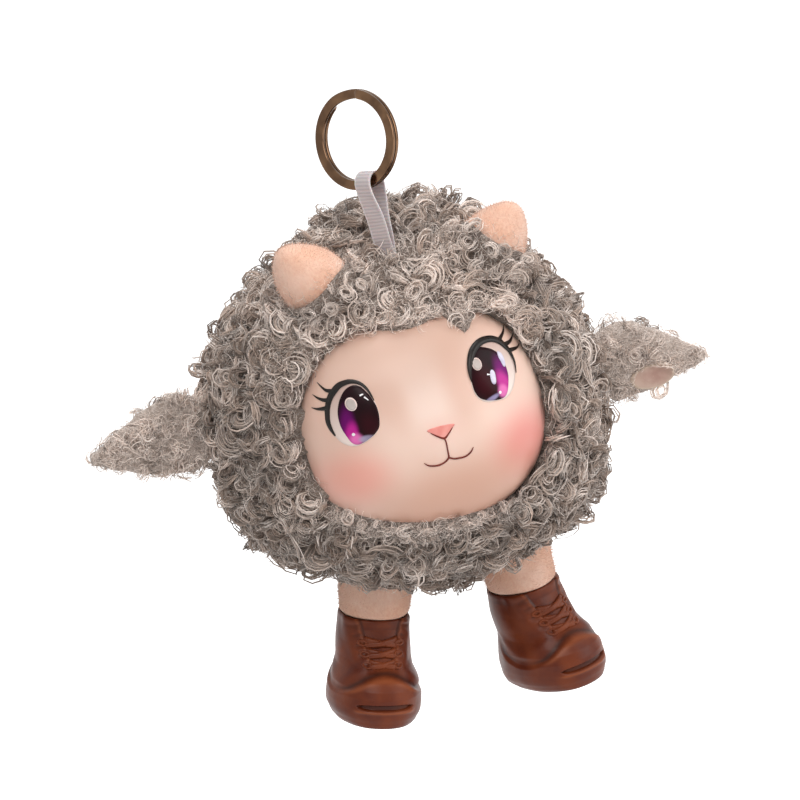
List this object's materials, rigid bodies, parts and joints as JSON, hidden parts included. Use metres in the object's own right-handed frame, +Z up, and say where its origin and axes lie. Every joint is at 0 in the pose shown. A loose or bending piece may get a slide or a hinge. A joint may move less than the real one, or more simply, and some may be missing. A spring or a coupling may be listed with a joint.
{
  "type": "plush sheep charm",
  "caption": "Round curly-fur plush sheep with a moulded vinyl doll's face, soft horns, ears and booted legs, hung by a ribbon loop from a split key ring.",
  "frame": {"origin": "the point inside the top of the split ring where a hook or another ring carries the charm", "axes": "+X is the viewer's right, +Y goes from the face to the back, +Z is up; the sheep faces -Y; left and right in the names are the viewer's"},
  "size_m": [0.165, 0.0973, 0.1665],
  "materials": {
    "steel": "nickel-plated spring steel, polished",
    "ribbon": "white ribbed ribbon with a soft sheen",
    "grey_fur": "warm grey curly lambswool pile on a cloth backing",
    "fibre": "white polyester stuffing",
    "face_vinyl": "matt pale pink vinyl with painted nose, mouth and blush",
    "eye_gloss": "printed magenta iris under a clear dome",
    "pink_plush": "short pale pink velboa plush",
    "boot_vinyl": "brown moulded vinyl with a soft sheen"
  },
  "bodies": {
    "key_ring": {"key_ring": "steel"},
    "ribbon": {"ribbon_loop": "ribbon"},
    "sheep": {"ribbon_tab": "ribbon", "fur_body": "grey_fur", "body_stuffing": "fibre", "face_mask": "face_vinyl", "eye_left": "eye_gloss", "eye_right": "eye_gloss", "horn_left": "pink_plush", "horn_left_stuffing": "fibre", "horn_right": "pink_plush", "horn_right_stuffing": "fibre"},
    "ear_left": {"ear_left": "grey_fur", "ear_left_lining": "pink_plush"},
    "ear_right": {"ear_right": "grey_fur", "ear_right_lining": "pink_plush"},
    "leg_left": {"leg_left": "pink_plush", "leg_left_stuffing": "fibre", "boot_left": "boot_vinyl"},
    "leg_right": {"leg_right": "pink_plush", "leg_right_stuffing": "fibre", "boot_right": "boot_vinyl"}
  },
  "joints": [
    {"name": "ribbon_on_ring", "type": "hinge", "parent": "key_ring", "child": "ribbon", "pos_m": [-0.00215, -0.00587, -0.02025], "axis": [0.6428, -0.766, 0], "range_deg": [-75, 65]},
    {"name": "ribbon_at_crown", "type": "hinge", "parent": "ribbon", "child": "sheep", "pos_m": [-0.00215, -0.00587, -0.03445], "axis": [0.6428, -0.766, 0], "range_deg": [-30, 22]},
    {"name": "ear_left_seam", "type": "hinge", "parent": "sheep", "child": "ear_left", "pos_m": [-0.05355, 0.01533, -0.07458], "axis": [0, 1, 0], "range_deg": [-18, 18], "stiffness_Nm_per_rad": 0.02},
    {"name": "ear_right_seam", "type": "hinge", "parent": "sheep", "child": "ear_right", "pos_m": [0.04605, 0.01533, -0.08768], "axis": [0, 1, 0], "range_deg": [-18, 18], "stiffness_Nm_per_rad": 0.02},
    {"name": "leg_left_seam", "type": "hinge", "parent": "sheep", "child": "leg_left", "pos_m": [-0.02235, 0.00933, -0.12318], "axis": [0.9563, 0, -0.2924], "range_deg": [-22, 15], "stiffness_Nm_per_rad": 0.05},
    {"name": "leg_right_seam", "type": "hinge", "parent": "sheep", "child": "leg_right", "pos_m": [0.01425, 0.00933, -0.12518], "axis": [1, 0, 0], "range_deg": [-22, 15], "stiffness_Nm_per_rad": 0.05}
  ]
}
